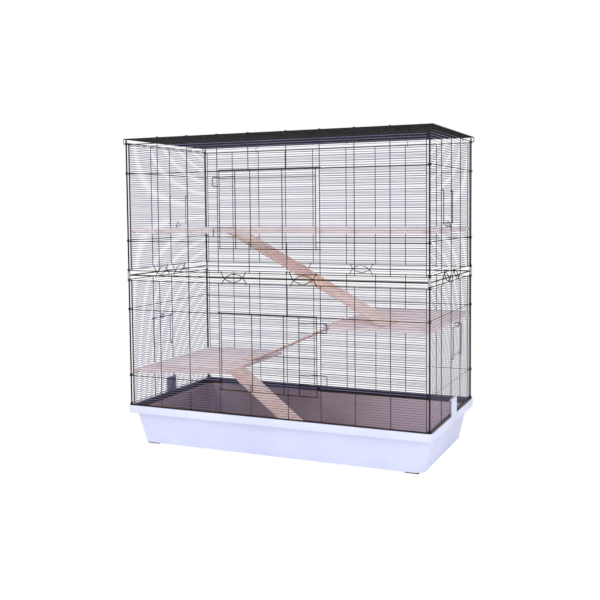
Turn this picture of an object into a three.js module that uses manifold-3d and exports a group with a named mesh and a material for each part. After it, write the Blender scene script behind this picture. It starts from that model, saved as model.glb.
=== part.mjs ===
// A two-tier wire cage for ferrets: welded grille walls threaded on corner rods, a moulded base
// tray with a litter pan, three plywood shelves and three ramps. Millimetres, +Z up, origin on the
// floor under the middle of the cage, -Y to the front.
import * as THREE from "three";
import { mergeVertices } from "three/addons/utils/BufferGeometryUtils.js";
import Module from "manifold-3d";

const wasm = await Module();
wasm.setup();

// ---- Driving dimensions -------------------------------------------------------------------------

const CLEARANCE = 0.3;
const WELD_SINK = 0.15;

// The cage's plan, measured between the axes of its corner rods.
const CAGE_W = 1000;
const CAGE_D = 500;
const ROD_D = 5;
const RAIL_D = 4;

// Wire sizes and the panel they are welded into.
const HEAVY_D = 2.8;
const UPRIGHT_D = 2.6;
const FINE_D = 1.7;
const PANEL_H = 405;
const BELT_H = 94.5;
const BELT_ROWS = 6;
const MIDDLE_ROWS = 14;
const END_INSET = 9.5;
const EYE_BEND = 1.5;
const EYE_SIDES = 5;
const EYE_STACK = 4.1;
const ROUND_SIDES = 8;
const SLEEVE_SIDES = 12;
const FRONT_UPRIGHTS = [-385, -277.5, -170, -63, 63, 170, 277.5, 385];
const SIDE_UPRIGHTS = [-115, 0, 115];

// Where the two tiers meet.
const TIER_GAP = 32.5;
const RAIL_RISE = 17.5;
const SLEEVE_L = 22;
const SLEEVE_WALL = 1.5;
const ROD_PLUG = 9;
const LOCATOR_R = 43.7;
const LOCATOR_TAIL = 4.5;
const LOCATOR_WELD = 0.25;
const LOCATOR_STEPS = 8;
const LOCATOR_FRONT_X = 116.5;
const LOCATOR_SIDE_X = 57.5;

// The front doors and their sliding latches.
const DOOR_HALF = 160;
const DOOR_INNER_UPRIGHT = 53;
const DOOR_ROWS = 16;
const DOOR_LOW_ROW = 5;
const DOOR_FREE_TAIL = 2;
const DOOR_HOOK_ANGLES = [-60, 0, 60, 120, 180];
const HOOK_CLEAR = 0.35;
const LATCH_ROD_IN = 56;
const LATCH_SHOULDER = 24;
const LATCH_SLANT = 22;
const LATCH_REACH = 18;
const LATCH_ARM_CLEAR = 1;
const LATCH_BAILS = [2, 13];
const LATCH_BAIL_ROWS = 2;

// The side doors and their hooks.
const SIDE_FIRST_ROW = 5;
const SIDE_LAST_ROW = 12;
const SIDE_UPRIGHT_IN = 5.5;
const SIDE_OVERLAP = 3.5;
const SIDE_DOOR_ROWS = 6;
const SIDE_TOP_DROP = 6;
const CATCH_R = 9.6;
const CATCH_TAIL = 12;
const CATCH_LEAN = 1;
const CATCH_CLAW = { from: 20, to: 140, steps: 4 };
const CATCH_EYE = { from: 190, to: 370, steps: 3 };
const SIDE_HINGE_HOOK = { from: 30, to: -150, steps: 3 };

// The roof.
const ROOF_RISE = 17.5;
const ROOF_OVERHANG = 9.5;
const ROOF_ROWS = 34;
const ROOF_FLANGE = 16;
const ROOF_CURL = 3;
const ROOF_EDGE_OVER = 1;
const ROOF_HOOK_D = 1.8;
const ROOF_HOOK_BACK_X = 286;
const ROOF_HOOK_SIDE_Y = 145;
const ROOF_HOOK_DROP = 1;

// The base: a tapered tray with a stepped lip, a litter pan and a seat frame.
const FOOT_H = 4;
const FOOT_L = 42;
const FOOT_W = 28;
const FOOT_IN_X = 62;
const FOOT_IN_Y = 44;
const TRAY_H = 101;
const TRAY_TAPER = 20;
const TRAY_WALL = 2.5;
const TRAY_CORNER = 28;
const CORNER_STEPS = 4;
const LIP_H = 24;
const LIP_OUT = 9;
const LIP_WALL = 4;
const LIP_CORNER = 12;
const BODY_STEP = 6;
const LEDGE_THICK = 4;
const SEAT_H = 17;
const SEAT_W = 11.5;
const PAN_WALL = 2.5;
const PAN_GAP = 1.2;
const PAN_RIM_GAP = 1;

// The clips that hold the cage down on the tray.
const CLIP_W = 60;
const CLIP_THICK = 3.4;
const CLIP_ROW = 3;
const CLIP_TIP = 2.4;
const CLIP_TIP_REACH = 0.6;
const CLIP_SILL = 3;
const CLIP_SIDE_GAP = 0.5;
const CLIP_BEVEL = 1;
const CLIP_BARREL_SIDES = 10;

// Shelves and ramps, as heights of their top faces over the cage's lowest wires.
const SHELF_THICK = 10;
const SHELF_FRONT_GAP = 10;
const TOP_SHELF_Z = 568;
const MIDDLE_SHELF_Z = 288;
const LOWER_SHELF_Z = 115;
const MIDDLE_SHELF_X = 175;
const LOWER_SHELF_X = -190;
const LOWER_SHELF_CUT = 85;
const PASSAGE_LEFT = -205;
const PASSAGE_RIGHT = 0;
const PASSAGE_RIM = 15;
const PASSAGE_DEPTH = 140;
const RAMP_W = 120;
const LOWER_RAMP_W = 105;
const RAMP_THICK = 5;
const RAMP_GROOVE = 1.5;
const RAMP_GROOVE_PITCH = 40;
const RAMP_GROOVE_SLOPE = 0.12;
const UPPER_RAMP = {
  lip: [-151, 560],
  crest: [-127, 550],
  low: [300, 318],
  toe: [335, 3],
  end: 360,
};
const MIDDLE_RAMP_FRONT = 30;
const MIDDLE_RAMP = { tail: 50, knee: 20, low: [12, 9], high: [140, 272] };
const LOWER_RAMP = { crest: [12, -5], low: [110, 4], end: 125 };

// How far a cutter reaches past what it cuts.
const CUT_OVER = 1;

// ---- Values worked out from them ----------------------------------------------------------------

const TRIANGLE = 3;
const SQUARE = 4;

/** Centre-to-corner radius of a regular section with the area of a round wire. */
function sectionRadius(diameter, sides) {
  const area = (Math.PI * diameter ** 2) / 4;
  return Math.sqrt((2 * area) / (sides * Math.sin((2 * Math.PI) / sides)));
}

/** Centre-to-flat distance of the same section. */
function flatOf(diameter, sides) {
  return sectionRadius(diameter, sides) * Math.cos(Math.PI / sides);
}

const FINE_TIP = sectionRadius(FINE_D, TRIANGLE);
const FINE_FLAT = flatOf(FINE_D, TRIANGLE);
const FINE_HALF = FINE_TIP * Math.sin(Math.PI / TRIANGLE);
const HEAVY_TIP = sectionRadius(HEAVY_D, TRIANGLE);
const HEAVY_FLAT = flatOf(HEAVY_D, TRIANGLE);
const HEAVY_HALF = HEAVY_TIP * Math.sin(Math.PI / TRIANGLE);
const UPRIGHT_HALF = flatOf(UPRIGHT_D, SQUARE);
const UPRIGHT_CORNER = sectionRadius(UPRIGHT_D, SQUARE);
const LOCATOR_FLAT = flatOf(UPRIGHT_D, TRIANGLE);
const LOCATOR_HALF = sectionRadius(UPRIGHT_D, TRIANGLE) * Math.sin(Math.PI / TRIANGLE);

// Depths in a wall, from the rods' plane towards the inside of the cage.
const END_DEPTH = (FINE_FLAT - FINE_TIP) / 2;
const UPRIGHT_DEPTH = HEAVY_FLAT - WELD_SINK + UPRIGHT_HALF;
const MIDDLE_HEAVY_DEPTH = -CLEARANCE;
const WALL_INSIDE = UPRIGHT_DEPTH + UPRIGHT_HALF;

// Heights, from the floor.
const CAGE_Z = FOOT_H + TRAY_H + LIP_H + CLEARANCE + HEAVY_HALF;
const TIER_RISE = PANEL_H + TIER_GAP;
const RAIL_Z = PANEL_H + RAIL_RISE;
const ROOF_Z = TIER_RISE + PANEL_H + ROOF_RISE;
const LEVELS = [0, BELT_H, PANEL_H - BELT_H, PANEL_H];

/** Heights of a wall's thin rows, in three bands between the heavy wires. */
const ROWS = LEVELS.slice(1).flatMap((top, band) => {
  const bottom = LEVELS[band];
  const count = band === 1 ? MIDDLE_ROWS : BELT_ROWS;
  const pitch = (top - bottom) / (count + 1);
  return Array.from({ length: count }, (_, i) => bottom + (i + 1) * pitch);
});
const middleRow = (k) => LEVELS[1] + (k * (LEVELS[2] - LEVELS[1])) / (MIDDLE_ROWS + 1);
const beltRow = (k) => (k * BELT_H) / (BELT_ROWS + 1);

// ---- Materials ----------------------------------------------------------------------------------

const material = (color, roughness, metalness = 0) =>
  new THREE.MeshStandardMaterial({ color, roughness, metalness, flatShading: true });
const WIRE = material("#241f26", 0.45, 0.3);
const STEEL = material("#b9bcc2", 0.35, 0.8);
const TRAY = material("#dfe1f3", 0.4);
const PAN = material("#675355", 0.55);
const SEAT = material("#1d191c", 0.5);
const FOOT = material("#26232a", 0.8);
const PLYWOOD = material("#cfa893", 0.75);
const RAMP_WOOD = material("#b8876a", 0.8);

// ---- Geometry helpers ---------------------------------------------------------------------------

const P = (x, y, z) => new THREE.Vector3(x, y, z);

/** A closed geometry as a solid that can be joined and cut. */
function solidOf(geometry) {
  const bare = geometry.clone();
  bare.deleteAttribute("normal");
  bare.deleteAttribute("uv");
  const merged = mergeVertices(bare, 1e-4);
  return new wasm.Manifold(
    new wasm.Mesh({
      numProp: 3,
      vertProperties: merged.attributes.position.array,
      triVerts: new Uint32Array(merged.index.array),
    }),
  );
}

/** A solid as a geometry again. */
function geometryOf(solid) {
  const { vertProperties, triVerts, numProp } = solid.getMesh();
  const geometry = new THREE.BufferGeometry();
  const buffer = new THREE.InterleavedBuffer(vertProperties, numProp);
  geometry.setAttribute("position", new THREE.InterleavedBufferAttribute(buffer, 3, 0));
  geometry.setIndex(new THREE.BufferAttribute(triVerts, 1));
  const plain = geometry.toNonIndexed();
  plain.computeVertexNormals();
  return plain;
}

const join = (geometries) =>
  geometryOf(geometries.map(solidOf).reduce((whole, piece) => whole.add(piece)));

const cut = (geometry, cutters) =>
  geometryOf(cutters.map(solidOf).reduce((whole, tool) => whole.subtract(tool), solidOf(geometry)));

/** A skin over rings of points, closed by a flat face on the first and the last ring. */
function skin(rings) {
  const sides = rings[0].length;
  const positions = rings.flat().flatMap((p) => [p.x, p.y, p.z]);
  const index = [];
  for (let i = 0; i + 1 < rings.length; i++) {
    for (let k = 0; k < sides; k++) {
      const a = i * sides + k;
      const b = i * sides + ((k + 1) % sides);
      index.push(a, b, b + sides, a, b + sides, a + sides);
    }
  }
  const last = (rings.length - 1) * sides;
  for (let k = 1; k + 1 < sides; k++) {
    index.push(0, k + 1, k, last, last + k, last + k + 1);
  }
  const geometry = new THREE.BufferGeometry();
  geometry.setAttribute("position", new THREE.Float32BufferAttribute(positions, 3));
  geometry.setIndex(index);
  return geometry;
}

/**
 * A bent wire: a regular section swept along straight runs with mitred bends. One flat of the
 * section faces `facing` on the first run and turns with the wire from there.
 */
function wire(points, diameter, sides, facing) {
  const radius = sectionRadius(diameter, sides);
  const runs = points.slice(1).map((p, i) => p.clone().sub(points[i]).normalize());
  const across = facing.clone().addScaledVector(runs[0], -facing.dot(runs[0])).normalize();
  const rings = points.map((point, i) => {
    const run = runs[Math.min(i, runs.length - 1)];
    const before = runs[Math.max(i - 1, 0)];
    if (i > 0 && i < runs.length) {
      across.applyQuaternion(new THREE.Quaternion().setFromUnitVectors(before, run));
    }
    const up = run.clone().cross(across);
    const mitre = before.clone().add(run).normalize();
    return Array.from({ length: sides }, (_, k) => {
      const angle = ((2 * k + 1) * Math.PI) / sides;
      const offset = across.clone().multiplyScalar(radius * Math.cos(angle));
      offset.addScaledVector(up, radius * Math.sin(angle));
      offset.addScaledVector(run, -offset.dot(mitre) / run.dot(mitre));
      return point.clone().add(offset);
    });
  });
  return skin(rings);
}

/** A corner-rounded rectangular ring of points at height z. */
function ring(halfX, halfY, radius, z) {
  const shape = new THREE.Shape();
  shape.absarc(halfX - radius, halfY - radius, radius, 0, Math.PI / 2);
  shape.absarc(radius - halfX, halfY - radius, radius, Math.PI / 2, Math.PI);
  shape.absarc(radius - halfX, radius - halfY, radius, Math.PI, 1.5 * Math.PI);
  shape.absarc(halfX - radius, radius - halfY, radius, 1.5 * Math.PI, 2 * Math.PI);
  const points = shape.curves
    .filter((curve) => curve.isEllipseCurve)
    .flatMap((arc) => arc.getPoints(CORNER_STEPS));
  return points.map((p) => P(p.x, p.y, z));
}

/** A flat outline in the XZ plane, extruded from y0 to y1. */
function extrudeAlongY(outline, y0, y1) {
  const shape = new THREE.Shape(outline.map(([x, z]) => new THREE.Vector2(x, z)));
  const geometry = new THREE.ExtrudeGeometry(shape, { depth: y1 - y0, bevelEnabled: false });
  return geometry.rotateX(Math.PI / 2).translate(0, y1, 0);
}

/** A flat outline in the XY plane with its top face at height top. */
function board(outline, thick, top) {
  const shape = new THREE.Shape(outline.map(([x, y]) => new THREE.Vector2(x, y)));
  const geometry = new THREE.ExtrudeGeometry(shape, { depth: thick, bevelEnabled: false });
  return geometry.translate(0, 0, top - thick);
}

/** A round bar of the given length along one axis, centred on the origin. */
function bar(diameter, length, axis, sides = ROUND_SIDES) {
  const geometry = new THREE.CylinderGeometry(diameter / 2, diameter / 2, length, sides);
  if (axis === "x") geometry.rotateZ(Math.PI / 2);
  if (axis === "z") geometry.rotateX(Math.PI / 2);
  return geometry;
}

// ---- Grille walls -------------------------------------------------------------------------------

const INWARD = P(0, 1, 0);
const UP = P(0, 0, 1);

/** A heavy wire between two rods, with an eye bent round each of them. */
function heavyWire(half, z, depth) {
  const apothem = ROD_D / 2 + CLEARANCE + HEAVY_FLAT;
  const radius = apothem / Math.cos(Math.PI / EYE_SIDES);
  const eye = Array.from({ length: EYE_SIDES }, (_, i) => {
    const angle = ((2 * i + 1 - EYE_SIDES) * Math.PI) / EYE_SIDES;
    return [half + radius * Math.cos(angle), radius * Math.sin(angle)];
  });
  const bend = [half - END_INSET + EYE_BEND, depth];
  const right = [bend, ...eye];
  const left = right.map(([x, y]) => [-x, y]).reverse();
  const points = [...left, ...right].map(([x, y]) => P(x, y, z));
  const rodSide = UP.clone().cross(points[1].clone().sub(points[0]));
  return wire(points, HEAVY_D, TRIANGLE, rodSide);
}

/** A thin wire rooted in the upright at x0, its other end free at x1. */
const fineWire = (x0, x1, y, z) =>
  wire([P(x0, y, z), P(x1, y, z)], FINE_D, TRIANGLE, P(0, 1, 0));

/** One thin row between two end uprights, whole or parted by an opening. */
function fineRow(half, z, y, index, opening) {
  const stop = half - UPRIGHT_HALF - CLEARANCE;
  if (opening && z > opening.z0 && z < opening.z1) {
    return [
      fineWire(-half, opening.x0 + UPRIGHT_HALF, y, z),
      fineWire(half, opening.x1 - UPRIGHT_HALF, y, z),
    ];
  }
  const side = index % 2 ? 1 : -1;
  return [fineWire(side * half, -side * stop, y, z)];
}

/** A hooked arc that reaches past the rail between the tiers and keeps the walls in line. */
function locator(x, tier, railDistance) {
  const upper = tier === "upper";
  const reach = TIER_GAP - HEAVY_HALF - LOCATOR_HALF - CLEARANCE;
  const level = upper ? 0 : PANEL_H;
  const out = upper ? -1 : 1;
  const weldFace = upper ? HEAVY_TIP : HEAVY_FLAT;
  const atWeld = weldFace - LOCATOR_WELD + LOCATOR_FLAT;
  const atRail = RAIL_D / 2 + CLEARANCE + LOCATOR_FLAT;
  const slope = (atRail - atWeld) / (railDistance - RAIL_D / 2);
  const sweep = Math.acos((LOCATOR_R - reach - LOCATOR_TAIL) / LOCATOR_R);
  const points = Array.from({ length: LOCATOR_STEPS + 1 }, (_, i) => {
    const angle = sweep * ((2 * i) / LOCATOR_STEPS - 1);
    const rise = reach - LOCATOR_R * (1 - Math.cos(angle));
    return P(x + LOCATOR_R * Math.sin(angle), out * (atWeld + slope * rise), level + out * rise);
  });
  return wire(points, UPRIGHT_D, TRIANGLE, P(0, -out, 0));
}

/** A welded wall: heavy wires, uprights, thin rows and the arcs that locate it on the other tier. */
function wallPanel({ length, uprights, tier, lift, opening, locatorX }) {
  const half = length / 2;
  const edge = half - END_INSET;
  const pieces = LEVELS.map((z, i) =>
    heavyWire(half, z, i === 0 || i === LEVELS.length - 1 ? 0 : MIDDLE_HEAVY_DEPTH),
  );
  for (const x of [-edge, edge]) {
    pieces.push(wire([P(x, END_DEPTH, 0), P(x, END_DEPTH, PANEL_H)], UPRIGHT_D, SQUARE, INWARD));
  }
  const tail = HEAVY_HALF / 2;
  for (const x of uprights) {
    const parted = opening && x > opening.x0 && x < opening.x1;
    const spans = parted
      ? [[-tail, opening.z0 + tail], [opening.z1 - tail, PANEL_H + tail]]
      : [[-tail, PANEL_H + tail]];
    for (const [z0, z1] of spans) {
      const ends = [z0, z1].map((z) => P(x, UPRIGHT_DEPTH, z));
      pieces.push(wire(ends, UPRIGHT_D, SQUARE, INWARD));
    }
  }
  ROWS.forEach((z, i) => pieces.push(...fineRow(edge, z, 0, i, opening)));
  const railDistance = tier === "upper" ? TIER_RISE + lift - RAIL_Z : RAIL_Z - PANEL_H - lift;
  for (const x of [-locatorX, locatorX]) {
    pieces.push(locator(x, tier, railDistance));
  }
  return join(pieces);
}

// ---- Front doors --------------------------------------------------------------------------------

const DOOR_BOTTOM = (beltRow(DOOR_LOW_ROW) + beltRow(DOOR_LOW_ROW + 1)) / 2;
const DOOR_TOP = LEVELS[2] + HEAVY_HALF + CLEARANCE + UPRIGHT_HALF;
const DOOR_DEPTH = -(HEAVY_TIP + CLEARANCE + CLEARANCE + UPRIGHT_HALF);
const DOOR_FINE_DEPTH = DOOR_DEPTH - END_DEPTH;
const DOOR_ROW_PITCH = (DOOR_TOP - DOOR_BOTTOM) / (DOOR_ROWS + 1);
const OPENING_X = FRONT_UPRIGHTS[5];

/** The door's top or bottom wire, hooked round the wall's upright on the hinge side. */
function doorRim(z, hinge) {
  const radius = (UPRIGHT_CORNER + HOOK_CLEAR + UPRIGHT_HALF) / Math.cos(Math.PI / 6);
  const hook = DOOR_HOOK_ANGLES.map((degrees) => {
    const angle = (degrees * Math.PI) / 180;
    return [OPENING_X + radius * Math.cos(angle), UPRIGHT_DEPTH + radius * Math.sin(angle)];
  });
  const start = [-DOOR_HALF - DOOR_FREE_TAIL, DOOR_DEPTH];
  const bend = [DOOR_HALF + DOOR_FREE_TAIL, DOOR_DEPTH];
  const points = [start, bend, ...hook].map(([x, y]) => P(hinge * x, y, z));
  return wire(points, UPRIGHT_D, SQUARE, UP);
}

/** A front door hung on the wall's upright at its `hinge` side, -1 for left and 1 for right. */
function frontDoor(hinge) {
  const pieces = [DOOR_BOTTOM, DOOR_TOP].map((z) => doorRim(z, hinge));
  const upright = (x, y, over) =>
    wire([P(x, y, DOOR_BOTTOM - over), P(x, y, DOOR_TOP + over)], UPRIGHT_D, SQUARE, INWARD);
  for (const x of [-DOOR_HALF, DOOR_HALF]) {
    pieces.push(upright(x, DOOR_DEPTH, 0));
  }
  for (const x of [-DOOR_INNER_UPRIGHT, DOOR_INNER_UPRIGHT]) {
    pieces.push(upright(x, DOOR_DEPTH - 2 * UPRIGHT_HALF + WELD_SINK, UPRIGHT_HALF / 2));
  }
  for (let k = 1; k <= DOOR_ROWS; k++) {
    const z = DOOR_BOTTOM + k * DOOR_ROW_PITCH;
    pieces.push(...fineRow(DOOR_HALF, z, DOOR_FINE_DEPTH, k));
  }
  return join(pieces);
}

/** The latch: an upright rod with two long bails that slide behind the wall's upright. */
function frontLatch(hinge) {
  const rodX = DOOR_HALF - LATCH_ROD_IN;
  const rodY = DOOR_FINE_DEPTH - FINE_TIP - CLEARANCE - UPRIGHT_HALF;
  const armY = WALL_INSIDE + LATCH_ARM_CLEAR + UPRIGHT_HALF;
  const endX = OPENING_X + LATCH_REACH;
  const bendX = rodX + LATCH_SHOULDER;
  const side = (x) => -hinge * x;
  const rodEnd = UPRIGHT_HALF + CLEARANCE;
  const rod = [P(side(rodX), rodY, DOOR_BOTTOM + rodEnd), P(side(rodX), rodY, DOOR_TOP - rodEnd)];
  const pieces = [wire(rod, UPRIGHT_D, SQUARE, INWARD)];
  for (const row of LATCH_BAILS) {
    const low = DOOR_BOTTOM + (row + 0.5) * DOOR_ROW_PITCH;
    const high = low + LATCH_BAIL_ROWS * DOOR_ROW_PITCH;
    const arm = [[rodX, rodY], [bendX, rodY], [bendX + LATCH_SLANT, armY], [endX, armY]];
    const there = arm.map(([x, y]) => P(side(x), y, low));
    const back = arm.map(([x, y]) => P(side(x), y, high)).reverse();
    pieces.push(wire([...there, ...back], UPRIGHT_D, SQUARE, INWARD));
  }
  return join(pieces);
}

// ---- Side doors ---------------------------------------------------------------------------------

const SIDE_OPENING = {
  x0: SIDE_UPRIGHTS[1],
  x1: SIDE_UPRIGHTS[2],
  z0: middleRow(SIDE_FIRST_ROW + 0.5),
  z1: middleRow(SIDE_LAST_ROW - 0.5),
};
const SIDE_DOOR_DEPTH = -(FINE_TIP + CLEARANCE + UPRIGHT_HALF);
const SIDE_DOOR_TOP = middleRow(SIDE_LAST_ROW) - SIDE_TOP_DROP;
const SIDE_AXIS_Z = middleRow(SIDE_FIRST_ROW);

/** Points of an arc round centre, in the plane across X, with its angles in degrees. */
function arcPoints(centre, radius, { from, to, steps }) {
  return Array.from({ length: steps + 1 }, (_, i) => {
    const angle = THREE.MathUtils.degToRad(from + ((to - from) * i) / steps);
    return centre.clone().add(P(0, radius * Math.cos(angle), radius * Math.sin(angle)));
  });
}

/** A side door in the lower tier's place: hooked on a thin row below, free at its top. */
function sideDoor() {
  const left = SIDE_OPENING.x0 + SIDE_UPRIGHT_IN;
  const right = SIDE_OPENING.x1 - SIDE_UPRIGHT_IN;
  const radius = (FINE_TIP + HOOK_CLEAR + UPRIGHT_HALF) / Math.cos(Math.PI / 6);
  const pieces = [left, right].map((x) => {
    const hook = arcPoints(P(x, 0, SIDE_AXIS_Z), radius, SIDE_HINGE_HOOK);
    const top = P(x, SIDE_DOOR_DEPTH, SIDE_DOOR_TOP);
    const shoulder = P(x, SIDE_DOOR_DEPTH, SIDE_AXIS_Z + radius);
    return wire([...hook, shoulder, top], UPRIGHT_D, SQUARE, P(1, 0, 0));
  });
  const ends = [left - SIDE_UPRIGHT_IN - SIDE_OVERLAP, right + SIDE_UPRIGHT_IN + SIDE_OVERLAP];
  const rim = ends.map((x) => P(x, SIDE_DOOR_DEPTH, SIDE_DOOR_TOP));
  pieces.push(wire(rim, UPRIGHT_D, SQUARE, UP));
  const pitch = (SIDE_DOOR_TOP - SIDE_AXIS_Z) / (SIDE_DOOR_ROWS + 1);
  const middle = (left + right) / 2;
  for (let k = 1; k <= SIDE_DOOR_ROWS; k++) {
    const z = SIDE_AXIS_Z + k * pitch;
    const rows = fineRow(right - middle, z, SIDE_DOOR_DEPTH - END_DEPTH, k);
    pieces.push(...rows.map((row) => row.translate(middle, 0, 0)));
  }
  return join(pieces);
}

/** A side door's catch: a claw round the row above the door, an eye on its top wire and a tail. */
function sideHook() {
  const x = (SIDE_OPENING.x0 + SIDE_OPENING.x1) / 2;
  const eye = (UPRIGHT_CORNER + HOOK_CLEAR + UPRIGHT_HALF) / Math.cos(Math.PI / 6);
  const rim = P(x, SIDE_DOOR_DEPTH, SIDE_DOOR_TOP);
  const claw = arcPoints(rim, CATCH_R, CATCH_CLAW);
  const loop = arcPoints(rim, eye, CATCH_EYE);
  const shoulder = claw[claw.length - 1];
  const tail = [shoulder, P(x, shoulder.y - CATCH_LEAN, shoulder.z + CATCH_TAIL)];
  const pieces = [[...claw, ...loop], tail];
  return join(pieces.map((points) => wire(points, UPRIGHT_D, SQUARE, P(1, 0, 0))));
}

// ---- Roof ---------------------------------------------------------------------------------------

/** A small hook from the roof's edge, in under a wall's top wire, in the plane set by `inward`. */
function roofHook(start, inward, barZ) {
  const under = barZ - HEAVY_HALF - CLEARANCE - ROOF_HOOK_D / 2;
  const inside = HEAVY_FLAT + 2 * CLEARANCE + ROOF_HOOK_D;
  const at = (depth, z) => P(start.x, start.y, z).addScaledVector(inward, depth);
  const points = [
    at(0, ROOF_Z),
    at(0, ROOF_Z - HEAVY_TIP - ROOF_HOOK_DROP),
    at(inside + start.back, (ROOF_Z + barZ) / 2),
    at(inside + start.back, under),
    at(start.back - HEAVY_TIP - ROOF_HOOK_D / 2, under),
  ];
  return wire(points, ROOF_HOOK_D, SQUARE, P(-inward.y, inward.x, 0));
}

/** The roof: lengthwise rows between two short edges, cross wires curled over the long edges. */
function roofPanel() {
  const halfX = CAGE_W / 2 + ROOF_OVERHANG;
  const halfY = CAGE_D / 2;
  const reach = halfX + ROOF_EDGE_OVER;
  const pieces = [];
  for (const y of [-halfY, halfY]) {
    pieces.push(wire([P(-reach, y, ROOF_Z), P(reach, y, ROOF_Z)], HEAVY_D, TRIANGLE, UP));
  }
  for (const x of [-halfX, halfX]) {
    const edgeZ = ROOF_Z + END_DEPTH;
    const low = ROOF_Z - ROOF_FLANGE;
    const frame = [P(x, -halfY, edgeZ), P(x, -halfY, low), P(x, halfY, low), P(x, halfY, edgeZ)];
    pieces.push(wire(frame, UPRIGHT_D, SQUARE, P(Math.sign(x), 0, 0)));
    pieces.push(wire([frame[0], frame[3]], UPRIGHT_D, SQUARE, P(Math.sign(x), 0, 0)));
  }
  const crossZ = ROOF_Z + UPRIGHT_DEPTH;
  const over = halfY + HEAVY_HALF + UPRIGHT_HALF;
  for (const x of FRONT_UPRIGHTS) {
    const curl = [P(x, -over, ROOF_Z - ROOF_CURL), P(x, -over, ROOF_Z), P(x, -halfY, crossZ)];
    const far = curl.map((p) => P(x, -p.y, p.z)).reverse();
    pieces.push(wire([...curl, ...far], UPRIGHT_D, SQUARE, P(1, 0, 0)));
  }
  const pitch = CAGE_D / (ROOF_ROWS + 1);
  for (let k = 1; k <= ROOF_ROWS; k++) {
    const side = k % 2 ? 1 : -1;
    const row = [side * halfX, -side * (halfX - UPRIGHT_HALF - CLEARANCE)];
    const y = -halfY + k * pitch;
    pieces.push(wire(row.map((x) => P(x, y, ROOF_Z)), FINE_D, TRIANGLE, UP));
  }
  const wallTop = TIER_RISE + PANEL_H;
  for (const x of [-ROOF_HOOK_BACK_X, ROOF_HOOK_BACK_X]) {
    pieces.push(roofHook({ x, y: halfY, back: 0 }, P(0, -1, 0), wallTop));
  }
  for (const side of [-1, 1]) {
    const start = { x: side * halfX, y: ROOF_HOOK_SIDE_Y, back: ROOF_OVERHANG };
    pieces.push(roofHook(start, P(-side, 0, 0), wallTop + EYE_STACK));
  }
  return join(pieces);
}

// ---- Base ---------------------------------------------------------------------------------------

const LIP_X = CAGE_W / 2 + LIP_OUT;
const LIP_Y = CAGE_D / 2 + LIP_OUT;
const FOOT_X = CAGE_W / 2 - FOOT_IN_X;
const FOOT_Y = CAGE_D / 2 - FOOT_IN_Y;
const BODY_X = CAGE_W / 2 - BODY_STEP;
const BODY_Y = CAGE_D / 2 - BODY_STEP;
const TRAY_TOP = FOOT_H + TRAY_H;
const LIP_TOP = TRAY_TOP + LIP_H;
const LEDGE_TOP = TRAY_TOP + LEDGE_THICK;
const SEAT_TOP = LIP_TOP;
const PAN_RIM_TOP = SEAT_TOP - SEAT_H - CLEARANCE;
const SEAT_X = LIP_X - LIP_WALL - CLEARANCE;
const SEAT_Y = LIP_Y - LIP_WALL - CLEARANCE;
const SEAT_CORNER = LIP_CORNER - LIP_WALL;
const CLIP_NOTCH_Z = TRAY_TOP + CLIP_SILL;

/** The tray: a tapered tub with a stepped lip, notched for the two clips. */
function trayGeometry() {
  const tub = skin([
    ring(BODY_X - TRAY_TAPER, BODY_Y - TRAY_TAPER, TRAY_CORNER, FOOT_H),
    ring(BODY_X, BODY_Y, TRAY_CORNER, TRAY_TOP),
    ring(LIP_X, LIP_Y, LIP_CORNER, TRAY_TOP + WELD_SINK),
    ring(LIP_X, LIP_Y, LIP_CORNER, LIP_TOP),
    ring(LIP_X - LIP_WALL, LIP_Y - LIP_WALL, SEAT_CORNER, LIP_TOP),
    ring(LIP_X - LIP_WALL, LIP_Y - LIP_WALL, SEAT_CORNER, LEDGE_TOP),
    ring(BODY_X - TRAY_WALL, BODY_Y - TRAY_WALL, TRAY_CORNER - TRAY_WALL, LEDGE_TOP - WELD_SINK),
    ring(
      BODY_X - TRAY_TAPER - TRAY_WALL,
      BODY_Y - TRAY_TAPER - TRAY_WALL,
      TRAY_CORNER - TRAY_WALL,
      FOOT_H + TRAY_WALL,
    ),
  ]);
  const notchW = CLIP_W + 2 * CLIP_SIDE_GAP;
  const notchH = LIP_TOP - CLIP_NOTCH_Z + CUT_OVER;
  const notch = new THREE.BoxGeometry(2 * (LIP_X + CUT_OVER), notchW, notchH);
  notch.translate(0, 0, CLIP_NOTCH_Z + notchH / 2);
  const keepH = LIP_H + 2 * CUT_OVER;
  const keep = new THREE.BoxGeometry(2 * (LIP_X - LIP_WALL), notchW + CUT_OVER, keepH);
  keep.translate(0, 0, TRAY_TOP + keepH / 2);
  return cut(tub, [cut(notch, [keep])].flatMap(splitSides));
}

/** The two halves of a cutter that lies on both sides of the cage. */
function splitSides(geometry) {
  return solidOf(geometry).decompose().map(geometryOf);
}

/** The litter pan: a thin tub hung by its flange on the tray's ledge. */
function panGeometry() {
  const x = BODY_X - TRAY_WALL - PAN_GAP;
  const y = BODY_Y - TRAY_WALL - PAN_GAP;
  const r = TRAY_CORNER - TRAY_WALL - PAN_GAP;
  const rimX = SEAT_X - PAN_RIM_GAP;
  const rimY = SEAT_Y - PAN_RIM_GAP;
  const rimBottom = LEDGE_TOP + CLEARANCE;
  const floor = FOOT_H + TRAY_WALL + CLEARANCE;
  return skin([
    ring(x - TRAY_TAPER, y - TRAY_TAPER, r, floor),
    ring(x, y, r, rimBottom),
    ring(rimX, rimY, SEAT_CORNER, rimBottom + WELD_SINK),
    ring(rimX, rimY, SEAT_CORNER, PAN_RIM_TOP),
    ring(x - PAN_WALL, y - PAN_WALL, r - PAN_WALL, PAN_RIM_TOP),
    ring(x - TRAY_TAPER - PAN_WALL, y - TRAY_TAPER - PAN_WALL, r - PAN_WALL, floor + PAN_WALL),
  ]);
}

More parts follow.
